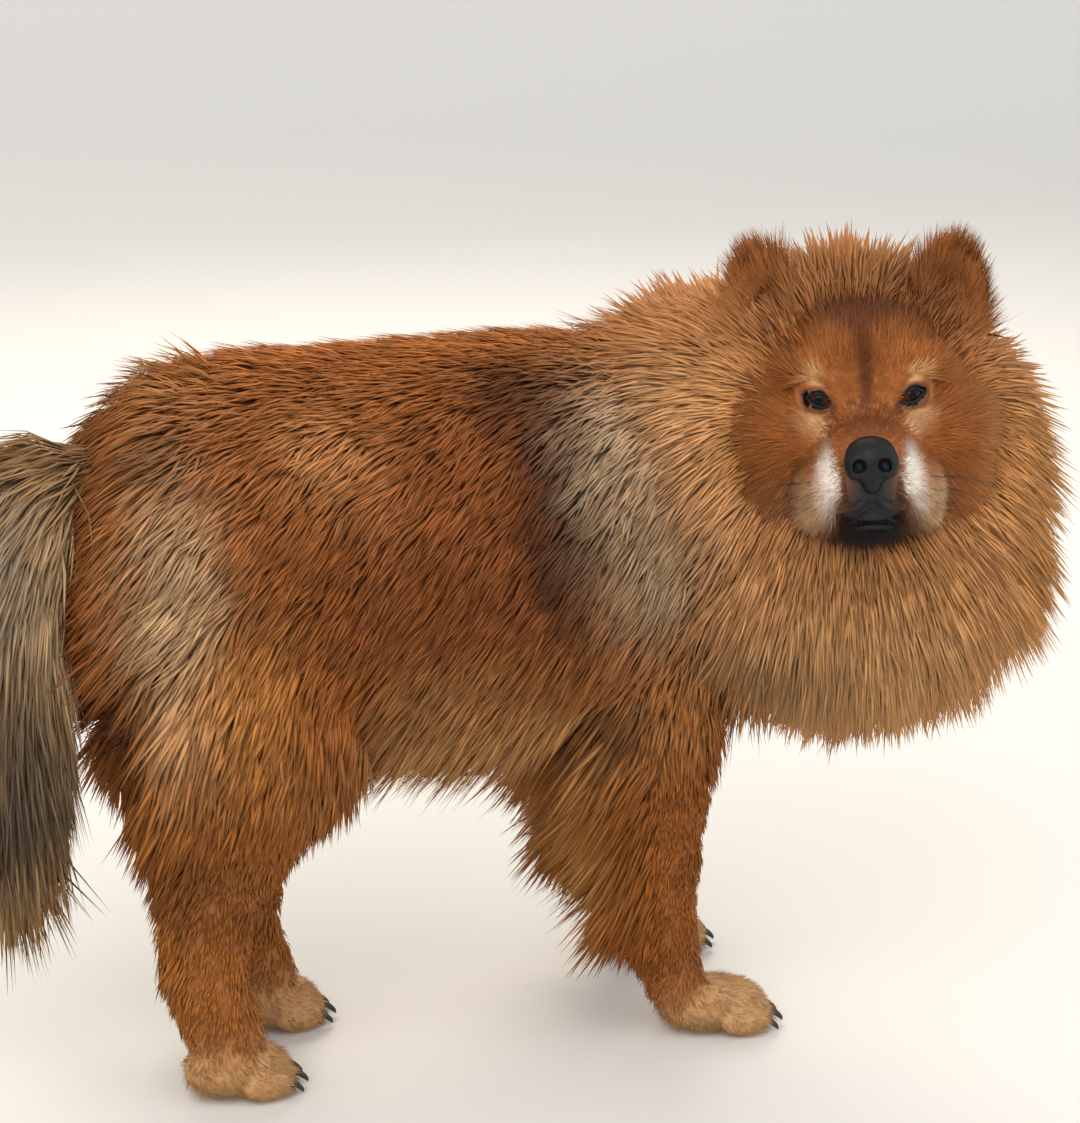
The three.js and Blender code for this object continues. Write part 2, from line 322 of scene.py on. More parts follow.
for paw in paws:
    turn = math.radians(paw["turn"])
    toesWay = [math.cos(turn), math.sin(turn), 0]
    leftWay = [-math.sin(turn), math.cos(turn), 0]
    paw["axes"] = np.array([toesWay, leftWay, [0, 0, 1]])
    paw["base"] = np.array([*paw["at"], 0.0])
    lowest = paw["base"] - [0.08, 0.06, 0.02]
    highest = paw["base"] + [0.08, 0.06, 0.09]
    addForm("paw", lambda p, paw=paw: pawField(p, paw), lowest, highest, 0.012)


# The head, in its own frame: x to the nose, y to its left, z up
lidTilt = math.radians(14)  # the outer corner of the eye is the higher one


def lidOpening(local, side):
    tilt = lidTilt * side
    a = local[:, 1] * math.cos(tilt) + local[:, 2] * math.sin(tilt)
    b = -local[:, 1] * math.sin(tilt) + local[:, 2] * math.cos(tilt)
    return a, b


def headField(p):
    h = toHead(p)
    d = ellipsoid(h, (-0.004, 0, 0.002), (0.078, 0.072, 0.062))
    d = smoothMin(d, ellipsoid(h, (0.024, 0, 0.032), (0.046, 0.054, 0.032)), 0.02)
    d = smoothMin(d, ellipsoid(h, (0.066, 0, -0.030), (0.052, 0.036, 0.030)), 0.016)
    for side in sides:
        d = smoothMin(d, ellipsoid(h, (0.020, side * 0.050, -0.026), (0.050, 0.042, 0.050)), 0.02)
        d = smoothMin(d, ellipsoid(h, (0.054, side * 0.036, 0.030), (0.018, 0.023, 0.011)), 0.010)
        d = smoothMin(d, ellipsoid(h, (0.057, side * 0.022, 0.024), (0.018, 0.010, 0.018)), 0.010)
        d = smoothMin(d, ellipsoid(h, (0.077, side * 0.030, -0.056), (0.032, 0.024, 0.026)), 0.010)
        d = smoothMin(d, ellipsoid(h, (0.099, side * 0.012, -0.053), (0.017, 0.014, 0.021)), 0.008)
    for side in sides:  # socket, then the lids over the eyeball
        eye = eyeAt(side)
        local = h - eye
        reach = np.linalg.norm(local, axis=1)
        d = carve(d, reach - 0.0128, 0.003)
        a, b = lidOpening(local, side)
        almond = np.abs(b) - 0.0056 * np.clip(1 - (a / 0.0112) ** 2, 0, 1)
        shell = np.maximum(np.maximum(np.abs(reach - 0.0142) - 0.0013, -0.8 * almond), -local[:, 0] - 0.002)
        d = smoothMin(d, shell, 0.003)
    d = carve(d, rod(h, (0.088, 0, 0.056), (0.083, 0, 0.014), 0.0035), 0.007)
    d = smoothMin(d, ellipsoid(h, (0.066, 0, -0.074), (0.042, 0.030, 0.016)), 0.003)
    for side in sides:  # the line of the mouth
        bend = (0.104, side * 0.024, -0.069)
        d = carve(d, rod(h, (0.120, 0, -0.060), bend, 0.0016), 0.003)
        d = carve(d, rod(h, bend, (0.072, side * 0.046, -0.078), 0.0016), 0.003)
    return carve(d, rod(h, (0.124, 0, -0.040), (0.121, 0, -0.060), 0.0009), 0.002)


addForm("head", headField, skull - 0.15, skull + 0.15, 0.014)

earBase = (-0.010, 0.054, 0.044)
earMiddle = (-0.001, 0.066, 0.070)


def earField(p, side):
    h = toHead(p)
    mirrored = h * [1, side, 1]
    d = rod(mirrored, earBase, earMiddle, 0.013)
    outline = ellipsoid(mirrored, (0.004, 0.071, 0.069), (0.012, 0.027, 0.041))
    cup = ellipsoid(mirrored, (0.017, 0.069, 0.069), (0.011, 0.017, 0.030))
    return carve(smoothMin(d, outline, 0.012), cup, 0.004)


for side in sides:
    middle = fromHead((0.0, side * 0.068, 0.08))[0]
    addForm("ear", lambda p, side=side: earField(p, side), middle - 0.07, middle + 0.07, 0.008)

groups = ["torso", "mane", "tail", "foreleg", "hindleg", "paw", "head", "ear"]


def distances(points, byGroup=False):
    total = np.full(len(points), 0.2)
    each = np.full((len(points), len(groups)), 0.2)
    for form in forms:
        inside = np.all((points > form["low"]) & (points < form["high"]), axis=1)
        picked = np.nonzero(inside)[0]
        for part in np.array_split(picked, max(1, len(picked) // 60000)):
            if len(part) == 0:
                continue
            d = form["field"](points[part])
            total[part] = smoothMin(total[part], d, form["blend"])
            column = groups.index(form["group"])
            each[part, column] = np.minimum(each[part, column], d)
    return (total, each) if byGroup else total


# Skin: the forms' common surface, finer on the face and the paws
skinStep = 0.004
skinLow = np.array([-0.46, -0.30, -0.012])
skinHigh = np.array([0.46, 0.17, 0.70])


def surfaceOf(field, low, high, step):
    counts = np.ceil((high - low) / step).astype(int)
    axes = [low[i] + step * np.arange(counts[i]) for i in range(3)]
    points = np.stack(np.meshgrid(*axes, indexing="ij"), -1).reshape(-1, 3)
    grid = openvdb.FloatGrid(background=0.2)
    grid.copyFromArray(field(points).reshape(counts).astype(np.float32))
    grid.transform = openvdb.createLinearTransform(voxelSize=step)
    vertices, triangles, quads = grid.convertToPolygons(isovalue=0.0, adaptivity=0.0)
    halves = np.vstack([triangles, quads[:, [0, 1, 2]], quads[:, [0, 2, 3]]]) if len(quads) else triangles
    vertices = vertices + low
    corners = vertices[halves]
    volume = (np.cross(corners[:, 0], corners[:, 1]) * corners[:, 2]).sum() / 6
    way = 1 if volume > 0 else -1
    return vertices, halves[:, ::way], quads[:, ::way]


# moves points onto the surface of a field
def settle(points, field, rounds=2, reach=0.003):
    step = 0.0005
    for _ in range(rounds):
        d = field(points)
        slope = np.stack([field(points + step * axis) - field(points - step * axis) for axis in np.eye(3)], 1)
        points = points - unit(slope) * np.clip(d, -reach, reach)[:, None]
    return points


def makeSkinMesh():
    vertices, _, quads = surfaceOf(distances, skinLow, skinHigh, skinStep)
    mesh = bpy.data.meshes.new("skinDraft")
    mesh.from_pydata(vertices.tolist(), [], quads.tolist())
    shape = bmesh.new()
    shape.from_mesh(mesh)
    middles = np.array([f.calc_center_median() for f in shape.faces])
    h = toHead(middles)
    face = (h[:, 0] > 0.03) & (np.abs(h[:, 1]) < 0.075) & (np.abs(h[:, 2]) < 0.1)
    fine = set(np.nonzero(face | (middles[:, 2] < 0.05))[0].tolist())
    edges = {e for i, f in enumerate(shape.faces) if i in fine for e in f.edges}
    bmesh.ops.subdivide_edges(shape, edges=list(edges), cuts=3, use_grid_fill=True)
    bmesh.ops.triangulate(shape, faces=shape.faces[:])
    shape.to_mesh(mesh)
    shape.free()
    points = np.zeros(len(mesh.vertices) * 3)
    mesh.vertices.foreach_get("co", points)
    corners = np.zeros(len(mesh.loops), np.int32)
    mesh.loops.foreach_get("vertex_index", corners)
    bpy.data.meshes.remove(mesh)
    points = settle(points.reshape(-1, 3), distances)
    points[:, 2] = np.maximum(points[:, 2], 0.001)
    return points, corners.reshape(-1, 3)


# Markings, with painted light and shade among them: soft patches laid over each part's own colour
partColours = {
    "torso": "#9c5c2a",
    "mane": "#c98e58",
    "tail": "#a8875f",
    "foreleg": "#96561f",
    "hindleg": "#a56328",
    "paw": "#c99a66",
    "head": "#ac642e",
    "ear": "#a4602d",
}
# centre, reach along x, y and z, colour, strength. y is to either side of the body.
bodyPatches = [
    # painted light: the top of the back lighter, where the light falls on it
    ((-0.08, 0.00, 0.610), (0.26, 0.09, 0.035), "#bd7034", 1.0),
    # painted shade: the flanks darker than the back, lying in shadow
    ((-0.03, 0.12, 0.480), (0.13, 0.07, 0.090), "#8b4e23", 0.95),
    ((-0.06, 0.13, 0.420), (0.14, 0.07, 0.050), "#80471c", 0.8),
    # painted shade: a dark band on the body behind the ruff, where the ruff shades it
    ((0.030, 0.11, 0.585), (0.050, 0.07, 0.035), "#3a1b0c", 1.0),
    ((0.062, 0.14, 0.500), (0.044, 0.08, 0.125), "#43200f", 1.0),
    ((-0.128, 0.13, 0.550), (0.036, 0.05, 0.045), "#c88b55", 0.9),
    ((-0.085, 0.14, 0.520), (0.020, 0.05, 0.060), "#a9693a", 0.7),
    ((-0.04, 0.12, 0.345), (0.09, 0.07, 0.030), "#96683c", 0.7),
    ((0.00, 0.10, 0.290), (0.16, 0.12, 0.040), "#bd8a54", 0.95),
    ((-0.24, 0.08, 0.595), (0.06, 0.08, 0.035), "#c4854e", 0.9),
    ((-0.246, 0.12, 0.425), (0.040, 0.08, 0.115), "#c9a47a", 0.95),
    # painted shade: darker grey-brown on the rump under the tail's base, where the tail shades it
    ((-0.262, 0.12, 0.545), (0.034, 0.06, 0.024), "#6f4c2d", 0.9),
    ((-0.19, 0.12, 0.360), (0.05, 0.06, 0.060), "#b97a3c", 0.8),
    ((-0.13, 0.12, 0.350), (0.04, 0.06, 0.090), "#8f5020", 0.9),
    ((-0.226, 0.09, 0.200), (0.06, 0.07, 0.050), "#7b471c", 0.8),
    ((0.112, 0.10, 0.285), (0.032, 0.06, 0.030), "#4c260d", 0.85),
    ((0.087, 0.08, 0.180), (0.030, 0.05, 0.075), "#bb854a", 0.9),
    ((0.110, 0.17, 0.560), (0.050, 0.10, 0.110), "#cbb08c", 0.95),
    ((0.135, 0.17, 0.430), (0.050, 0.10, 0.070), "#a98e6d", 0.9),
    # painted highlight: pale strands on the top of the ruff's collar
    ((0.141, 0.20, 0.606), (0.018, 0.05, 0.035), "#e6cdae", 0.7),
    ((0.300, 0.10, 0.690), (0.120, 0.16, 0.040), "#b97433", 0.9),
    ((0.296, 0.15, 0.632), (0.052, 0.06, 0.034), "#5e2f13", 0.9),
    ((0.190, 0.20, 0.520), (0.035, 0.10, 0.100), "#dba873", 0.8),
    ((0.278, 0.20, 0.430), (0.070, 0.08, 0.035), "#96673c", 0.85),
    ((0.300, 0.17, 0.360), (0.110, 0.14, 0.045), "#c99a66", 0.7),
    ((0.220, 0.20, 0.350), (0.060, 0.14, 0.040), "#96734d", 0.8),
    ((0.440, 0.16, 0.470), (0.050, 0.12, 0.120), "#c68c50", 0.8),
]
tailPatches = [
    ((-0.315, 0.00, 0.540), (0.050, 0.08, 0.035), "#80582f", 0.9),
    ((-0.390, -0.05, 0.460), (0.040, 0.08, 0.060), "#9d9182", 0.9),
    ((-0.375, -0.08, 0.310), (0.040, 0.06, 0.100), "#4a4037", 1.0),
    ((-0.300, -0.09, 0.392), (0.035, 0.06, 0.110), "#d6ba96", 1.0),
    ((-0.340, -0.05, 0.180), (0.070, 0.08, 0.055), "#b98a55", 0.9),
]
# the same in the head's frame
headPatches = [
    ((0.020, 0.000, 0.092), (0.070, 0.062, 0.050), "#5c2e13", 0.9),
    ((0.060, 0.000, 0.056), (0.035, 0.030, 0.028), "#6b3516", 0.8),
    ((0.078, 0.000, 0.026), (0.022, 0.006, 0.032), "#57290f", 0.8),
    ((0.064, 0.028, 0.044), (0.022, 0.024, 0.013), "#b36c34", 0.6),
    ((0.066, 0.037, 0.0270), (0.020, 0.0100, 0.0060), "#dca76d", 0.9),
    ((0.066, 0.040, -0.0090), (0.022, 0.0125, 0.0105), "#e3b280", 1.0),
    ((0.066, 0.0245, 0.0020), (0.018, 0.0034, 0.0085), "#2c150b", 0.9),
    ((0.094, 0.000, -0.008), (0.034, 0.024, 0.018), "#7c4420", 0.85),
    ((0.070, 0.058, -0.024), (0.036, 0.022, 0.030), "#a8622d", 0.8),
    ((0.084, 0.044, -0.066), (0.040, 0.018, 0.024), "#dcb185", 0.95),
    ((0.080, 0.036, -0.089), (0.040, 0.034, 0.010), "#2a1d17", 1.0),
    ((0.084, 0.000, -0.098), (0.050, 0.040, 0.016), "#4d3e33", 1.0),
    ((0.116, 0.000, -0.058), (0.060, 0.0275, 0.028), "#131418", 1.0),
    ((0.104, 0.000, -0.078), (0.050, 0.0340, 0.017), "#131418", 1.0),
    ((0.104, 0.0315, -0.044), (0.036, 0.0080, 0.025), "#efe3d4", 0.97),
    ((0.010, 0.100, -0.040), (0.060, 0.034, 0.070), "#c18347", 0.8),
    ((0.020, 0.069, 0.072), (0.014, 0.020, 0.032), "#4c240f", 0.95),
]


def layPatches(colours, points, patches, edge=1.3, eitherSide=True):
    spots = points.copy()
    if eitherSide:
        spots[:, 1] = np.abs(spots[:, 1])
    for centre, reach, hexColour, strength in patches:
        far = (((spots - centre) / reach) ** 2).sum(1)
        share = (strength * np.exp(-1.1 * far**edge))[:, None]
        colours = colours * (1 - share) + toLinear(hexColour) * share
    return colours


# a smooth wandering value, to break the edges of the patches
def ripple(points, size):
    q = points / size
    alongX = np.sin(q[:, 0] + 1.7 * np.sin(q[:, 1]))
    alongY = np.sin(q[:, 1] * 1.3 + np.sin(q[:, 2] * 1.1))
    return alongX * alongY * np.sin(q[:, 2] + 0.8)


def markingsAndPaintedLight(points, weights):
    moved = points + 0.011 * np.stack([ripple(points + s, 0.014) for s in (0.0, 0.3, 0.7)], 1)
    shades = np.array([toLinear(partColours[g]) for g in groups])
    colours = weights @ shades
    body = layPatches(colours, moved, bodyPatches)
    tailShare = weights[:, [groups.index("tail")]]
    headShare = weights[:, [groups.index("head")]] + weights[:, [groups.index("ear")]]
    headPoints = toHead(points + 0.12 * (moved - points))
    colours = body * (1 - tailShare - headShare) + colours * (tailShare + headShare)
    tail = layPatches(colours, moved, tailPatches, eitherSide=False)
    colours = colours * (1 - tailShare) + tail * tailShare
    head = layPatches(colours, headPoints, headPatches, edge=2.2)
    colours = colours * (1 - headShare) + head * headShare
    eyes = np.min([np.linalg.norm(toHead(points) - eyeAt(s), axis=1) for s in sides], axis=0)
    rim = (1 - fade(eyes, 0.0146, 0.0166))[:, None]
    return colours * (1 - rim) + toLinear("#14100f") * rim


# how much each part of the body owns a point
def weightsAt(points):
    _, each = distances(points, byGroup=True)
    nearest = each.min(1, keepdims=True)
    shares = np.exp(-(each - nearest) / 0.010)
    return shares / shares.sum(1, keepdims=True)


# Materials
def addNode(tree, kind, **settings):
    node = tree.nodes.new(kind)
    for name, value in settings.items():
        setattr(node, name, value)
    return node


def newMaterial(name):
    material = bpy.data.materials.new(name)
    material.use_nodes = True
    return material, material.node_tree, material.node_tree.nodes["Principled BSDF"]


def hairMaterial(name, streaks, softness):
    material, tree, shader = newMaterial(name)  # dull hair, streaked along each tuft and dark at its root
    colour = addNode(tree, "ShaderNodeAttribute", attribute_name="coatColour")
    strand = addNode(tree, "ShaderNodeUVMap", uv_map="strand")
    stretch = addNode(tree, "ShaderNodeMapping")
    stretch.inputs["Scale"].default_value = (streaks, 0.9, 1)
    noise = addNode(tree, "ShaderNodeTexNoise", noise_dimensions="2D")
    noise.inputs["Scale"].default_value = 1
    noise.inputs["Detail"].default_value = 2
    light = addNode(tree, "ShaderNodeMapRange")
    light.inputs["From Min"].default_value = 0.3
    light.inputs["From Max"].default_value = 0.7
    light.inputs["To Min"].default_value = 0.8
    light.inputs["To Max"].default_value = 1.18
    split = addNode(tree, "ShaderNodeSeparateXYZ")
    rootShade = addNode(tree, "ShaderNodeMapRange", interpolation_type="SMOOTHSTEP")
    rootShade.inputs["From Max"].default_value = 0.55
    rootShade.inputs["To Min"].default_value = 0.78
    both = addNode(tree, "ShaderNodeMath", operation="MULTIPLY")
    tint = addNode(tree, "ShaderNodeVectorMath", operation="SCALE")
    # the body's own slope, so the coat shades softly
    coatWay = addNode(tree, "ShaderNodeAttribute", attribute_name="coatNormal")
    bladeWay = addNode(tree, "ShaderNodeNewGeometry")
    mixedWay = addNode(tree, "ShaderNodeVectorMath", operation="MULTIPLY_ADD")
    mixedWay.inputs[1].default_value = (softness, softness, softness)
    evenWay = addNode(tree, "ShaderNodeVectorMath", operation="NORMALIZE")
    links = tree.links
    links.new(strand.outputs["UV"], stretch.inputs["Vector"])
    links.new(stretch.outputs["Vector"], noise.inputs["Vector"])
    links.new(noise.outputs["Fac"], light.inputs["Value"])
    links.new(strand.outputs["UV"], split.inputs["Vector"])
    links.new(split.outputs["Y"], rootShade.inputs["Value"])
    links.new(light.outputs["Result"], both.inputs[0])
    links.new(rootShade.outputs["Result"], both.inputs[1])
    links.new(colour.outputs["Color"], tint.inputs[0])
    links.new(both.outputs["Value"], tint.inputs["Scale"])
    links.new(tint.outputs["Vector"], shader.inputs["Base Color"])
    links.new(coatWay.outputs["Vector"], mixedWay.inputs[0])
    links.new(bladeWay.outputs["Normal"], mixedWay.inputs[2])
    links.new(mixedWay.outputs["Vector"], evenWay.inputs[0])
    links.new(evenWay.outputs["Vector"], shader.inputs["Normal"])
    shader.inputs["Roughness"].default_value = 0.75
    shader.inputs["IOR"].default_value = 1.5
    shader.inputs["Specular IOR Level"].default_value = 0.2
    return material


hairClump = 0.0012  # the nap's grain


def skinMaterial():
    material, tree, shader = newMaterial("furredSkin")  # short plush hair over the skin, read as a fine nap
    colour = addNode(tree, "ShaderNodeAttribute", attribute_name="coatColour")
    noise = addNode(tree, "ShaderNodeTexNoise")
    noise.inputs["Scale"].default_value = 1 / hairClump
    noise.inputs["Detail"].default_value = 3
    place3d = addNode(tree, "ShaderNodeTexCoord")
    bump = addNode(tree, "ShaderNodeBump")
    bump.inputs["Strength"].default_value = 0.5
    bump.inputs["Distance"].default_value = 0.0005
    tree.links.new(place3d.outputs["Object"], noise.inputs["Vector"])
    tree.links.new(noise.outputs["Fac"], bump.inputs["Height"])
    tree.links.new(bump.outputs["Normal"], shader.inputs["Normal"])
    tree.links.new(colour.outputs["Color"], shader.inputs["Base Color"])
    shader.inputs["Roughness"].default_value = 0.7
    return material


def leatherMaterial(name, hexColour, roughness, cell):
    material, tree, shader = newMaterial(name)  # bare wet skin, pebbled, with a soft sheen
    shader.inputs["Base Color"].default_value = (*toLinear(hexColour), 1)
    shader.inputs["Roughness"].default_value = roughness
    shader.inputs["IOR"].default_value = 1.4
    shader.inputs["Specular IOR Level"].default_value = 0.35
    place3d = addNode(tree, "ShaderNodeTexCoord")
    pebbles = addNode(tree, "ShaderNodeTexVoronoi", feature="F1")
    pebbles.inputs["Scale"].default_value = 1 / cell
    bump = addNode(tree, "ShaderNodeBump", invert=True)
    bump.inputs["Strength"].default_value = 0.5
    bump.inputs["Distance"].default_value = 0.0003
    tree.links.new(place3d.outputs["Object"], pebbles.inputs["Vector"])
    tree.links.new(pebbles.outputs["Distance"], bump.inputs["Height"])
    tree.links.new(bump.outputs["Normal"], shader.inputs["Normal"])
    return material


def plainMaterial(name, hexColour, roughness, ior):
    material, _, shader = newMaterial(name)
    shader.inputs["Base Color"].default_value = (*toLinear(hexColour), 1)
    shader.inputs["Roughness"].default_value = roughness
    shader.inputs["IOR"].default_value = ior
    return material


def eyeMaterial():
    material, tree, shader = newMaterial("darkEye")  # a wet eyeball, almost black over a brown iris
    colour = addNode(tree, "ShaderNodeAttribute", attribute_name="coatColour")
    tree.links.new(colour.outputs["Color"], shader.inputs["Base Color"])
    shader.inputs["Roughness"].default_value = 0.09
    shader.inputs["IOR"].default_value = 1.34
    shader.inputs["Specular IOR Level"].default_value = 0.3
    return material


longHair = hairMaterial("longCoatHair", 2.4, 1.5)
shortHair = hairMaterial("shortPlushHair", 1.4, 2.2)
noseLeather = leatherMaterial("noseLeather", "#0f1215", 0.42, 0.0011)
lipLeather = leatherMaterial("lipLeather", "#101012", 0.55, 0.0016)
# dark horn with a dull shine, for claws and whiskers
clawHorn = plainMaterial("clawHorn", "#1d1815", 0.35, 1.54)
eyeGloss = eyeMaterial()

skinPoints, skinTriangles = makeSkinMesh()
skinWeights = weightsAt(skinPoints)
skinColours = markingsAndPaintedLight(skinPoints, skinWeights)
fleshNodes = [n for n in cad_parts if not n.startswith(("eye_", "nose"))]
skinDepth = 0.92  # skin seen between the tufts is in their shade
skin = meshObject("skin", skinPoints, skinTriangles, skinMaterial(), skinColours * skinDepth)
place(skin, "body_coat", *fleshNodes)
bpy.context.view_layer.objects.active = skin
skin.select_set(True)
skin.data.uv_layers.new(name="OFBake")
bpy.ops.object.mode_set(mode="EDIT")
bpy.ops.mesh.select_all(action="SELECT")
bpy.ops.uv.smart_project(angle_limit=math.radians(66), island_margin=0.002)
bpy.ops.object.mode_set(mode="OBJECT")
skinUvs = np.zeros(len(skin.data.loops) * 2)
skin.data.uv_layers["OFBake"].data.foreach_get("uv", skinUvs)
skinUvs = skinUvs.reshape(-1, 3, 2)
skinNormals = np.zeros(len(skinPoints) * 3)
skin.data.vertex_normals.foreach_get("vector", skinNormals)
skinNormals = skinNormals.reshape(-1, 3)
print("skin", len(skinTriangles), "triangles")


# Coat: where it grows, how it lies and how long it is
def aheadOf(path, points):
    if len(points) == 0:
        return np.zeros((0, 3))
    parts = np.array_split(points, max(1, len(points) // 20000))
    nearest = [np.argmin(((p[:, None, :] - path["centres"][None]) ** 2).sum(2), axis=1) for p in parts]
    return path["ahead"][np.concatenate(nearest)]


def lieOf(group, points, normals):
    nx, ny, nz = normals.T
    ones = np.ones(len(points))
    if group == "torso":
        return np.stack([-0.8 * ones, 0 * ones, -0.3 - 0.5 * np.abs(ny)], 1)
    if group == "mane":
        h = toHead(points)
        front = fade(normals @ headAxes[:, 0], 0.1, 0.7)[:, None]
        outward = unit((h + [0, 0.018, 0.03]) * [0, 1, 1]) @ headAxes.T
        ruff = outward * front - headAxes[:, 0] * 0.6 * (1 - front) - up * (0.25 + 0.3 * (1 - nz)[:, None])
        shoulder = fade(-h[:, [0]], 0.07, 0.13)
        return unit(ruff) * (1 - shoulder) + np.array([-0.75, 0, -0.6]) * shoulder
    if group == "tail":
        return aheadOf(tailPath, points) - 0.4 * up
    if group == "hindleg":
        return np.stack([-0.35 * ones, 0 * ones, -1 * ones], 1)
    if group == "foreleg":
        return np.stack([-0.25 - 0.3 * (nx < -0.3), 0 * ones, -1 * ones], 1)
    if group == "paw":
        return np.stack([0.8 * ones, 0 * ones, -0.5 * ones], 1)
    h = toHead(points)
    if group == "ear":
        return (np.stack([0.15 * ones, 0.35 * np.sign(h[:, 1]), ones], 1)) @ headAxes.T
    away = unit(h - [0.125, 0, -0.030])
    crown = fade(h[:, 2], 0.0, 0.05)
    cheek = fade(np.abs(h[:, 1]), 0.03, 0.07) * fade(-h[:, 2], -0.01, 0.04)
    away[:, 2] += 0.5 * crown - 0.5 * cheek
    return away @ headAxes.T


def lengthOf(group, points, normals):
    nx, _, nz = normals.T
    z = points[:, 2]
    h = toHead(points)
    if group == "torso":
        return 0.050 + 0.034 * fade(-nz, 0.1, 0.8) + 0.014 * fade(-points[:, 0], 0.15, 0.28)
    if group == "mane":
        ring = fade(np.hypot(h[:, 1], h[:, 2] + 0.02), 0.085, 0.145)
        return 0.076 - 0.034 * (1 - ring) * fade(h[:, 0], -0.03, 0.02)
    if group == "tail":
        return 0.105 - 0.02 * fade(z, 0.42, 0.52)
    if group == "hindleg":
        behind = fade(-nx, 0.2, 0.8)
        return 0.016 + (0.045 + 0.02 * behind) * fade(z, 0.19, 0.33) + 0.022 * behind * fade(z, 0.07, 0.14)
    if group == "foreleg":
        behind = fade(-nx, 0.2, 0.8)
        return 0.014 + 0.030 * fade(z, 0.20, 0.32) + 0.058 * behind * fade(z, 0.06, 0.15)
    if group == "paw":
        return 0.010 * np.ones(len(points))
    if group == "ear":
        return 0.021 + 0.012 * fade(h[:, 2], 0.06, 0.11) - 0.010 * fade(h[:, 0], 0.006, 0.012)
    reach = np.hypot(h[:, 1], h[:, 2] + 0.012)
    plush = 0.009 + 0.030 * fade(reach, 0.040, 0.092) + 0.010 * fade(h[:, 2], 0.045, 0.080)
    return plush * (1 - 0.35 * fade(h[:, 0], 0.070, 0.090))


# how far the coat stands off: it hangs clear under the body and fans out round the ruff
def standOf(group, points, normals):
    under = fade(-normals[:, 2], 0.1, 0.8)
    if group == "mane":
        rim = 1 - fade(np.abs(normals @ headAxes[:, 0]), 0.3, 0.8)
        return 1 + 0.25 * rim
    if group == "foreleg":
        return 1 + 1.9 * fade(-normals[:, 0], 0.2, 0.8) * fade(points[:, 2], 0.09, 0.17)
    return 1 + 1.1 * under


torsoCoat = {"count": 38000, "width": 0.0028, "stand": 0.27, "rise": 0.20, "droop": 0.05, "clump": 0.42}
maneCoat = {"count": 42000, "width": 0.0028, "stand": 0.42, "rise": 0.30, "droop": 0.10, "clump": 0.45}
tailCoat = {"count": 12000, "width": 0.0032, "stand": 0.30, "rise": 0.24, "droop": 0.12, "clump": 0.45}
hindlegCoat = {"count": 16000, "width": 0.0028, "stand": 0.26, "rise": 0.20, "droop": 0.05, "clump": 0.42}
forelegCoat = {"count": 12000, "width": 0.0027, "stand": 0.28, "rise": 0.22, "droop": 0.04, "clump": 0.40}
pawCoat = {"count": 14000, "width": 0.0015, "stand": 0.30, "rise": 0.15, "droop": 0, "clump": 0.15}
headCoat = {"count": 46000, "width": 0.0018, "stand": 0.32, "rise": 0.16, "droop": 0, "clump": 0.22}
earCoat = {"count": 8000, "width": 0.0019, "stand": 0.45, "rise": 0.22, "droop": 0, "clump": 0.25}
coatPlans = {
    "torso": {**torsoCoat, "rings": 2, "slot": "body_coat"},
    "mane": {**maneCoat, "rings": 2, "slot": "mane_coat"},
    "tail": {**tailCoat, "rings": 2, "slot": "tail_coat"},
    "hindleg": {**hindlegCoat, "rings": 2, "slot": "leg_coat"},
    "foreleg": {**forelegCoat, "rings": 2, "slot": "leg_coat"},
    "paw": {**pawCoat, "rings": 1, "slot": "paw_fur"},
    "head": {**headCoat, "rings": 1, "slot": "face_fur"},
    "ear": {**earCoat, "rings": 1, "slot": "ear_fur"},
}
mostTriangles = 190000  # in one piece
clumpSize = 30  # tufts that lean together
lowestHair = 0.004
patchSize = 0.003  # of a tuft on the skin's unwrap

corners = skinPoints[skinTriangles]
areas = 0.5 * np.linalg.norm(np.cross(corners[:, 1] - corners[:, 0], corners[:, 2] - corners[:, 0]), axis=1)
middles = corners.mean(1)
middleWeights = skinWeights[skinTriangles].mean(1)
# no hair on the eyes' rims, the nose, the lips or the soles
headMiddles = toHead(middles)
bare = np.min([np.linalg.norm(headMiddles - eyeAt(s), axis=1) for s in sides], axis=0) < 0.0165
bare |= np.linalg.norm((headMiddles - [0.116, 0, -0.050]) / [0.026, 0.017, 0.026], axis=1) < 1
bare |= np.linalg.norm((headMiddles - [0.108, 0, -0.068]) / [0.026, 0.026, 0.009], axis=1) < 1
bare |= middles[:, 2] < lowestHair


# roots spread evenly over a group's skin, with what the skin has there
def growRoots(group, count):
    chance = areas * middleWeights[:, groups.index(group)] ** 2 * ~bare
    picked = draw.choice(len(areas), count, p=chance / chance.sum())
    shares = draw.dirichlet((1, 1, 1), count)
    ids = skinTriangles[picked]
    roots = (skinPoints[ids] * shares[:, :, None]).sum(1)
    normals = unit((skinNormals[ids] * shares[:, :, None]).sum(1))
    uvs = (skinUvs[picked] * shares[:, :, None]).sum(1)
    weights = (skinWeights[ids] * shares[:, :, None]).sum(1)
    return roots, normals, uvs, weights


# each tuft's nearest leader, whose tip it leans to
def clumpLeaders(roots, every):
    leaders = draw.choice(len(roots), max(1, len(roots) // every), replace=False)
    tree = kdtree.KDTree(len(leaders))
    for i, leader in enumerate(leaders):
        tree.insert(roots[leader], i)
    tree.balance()
    return leaders[np.array([tree.find(r)[1] for r in roots])]


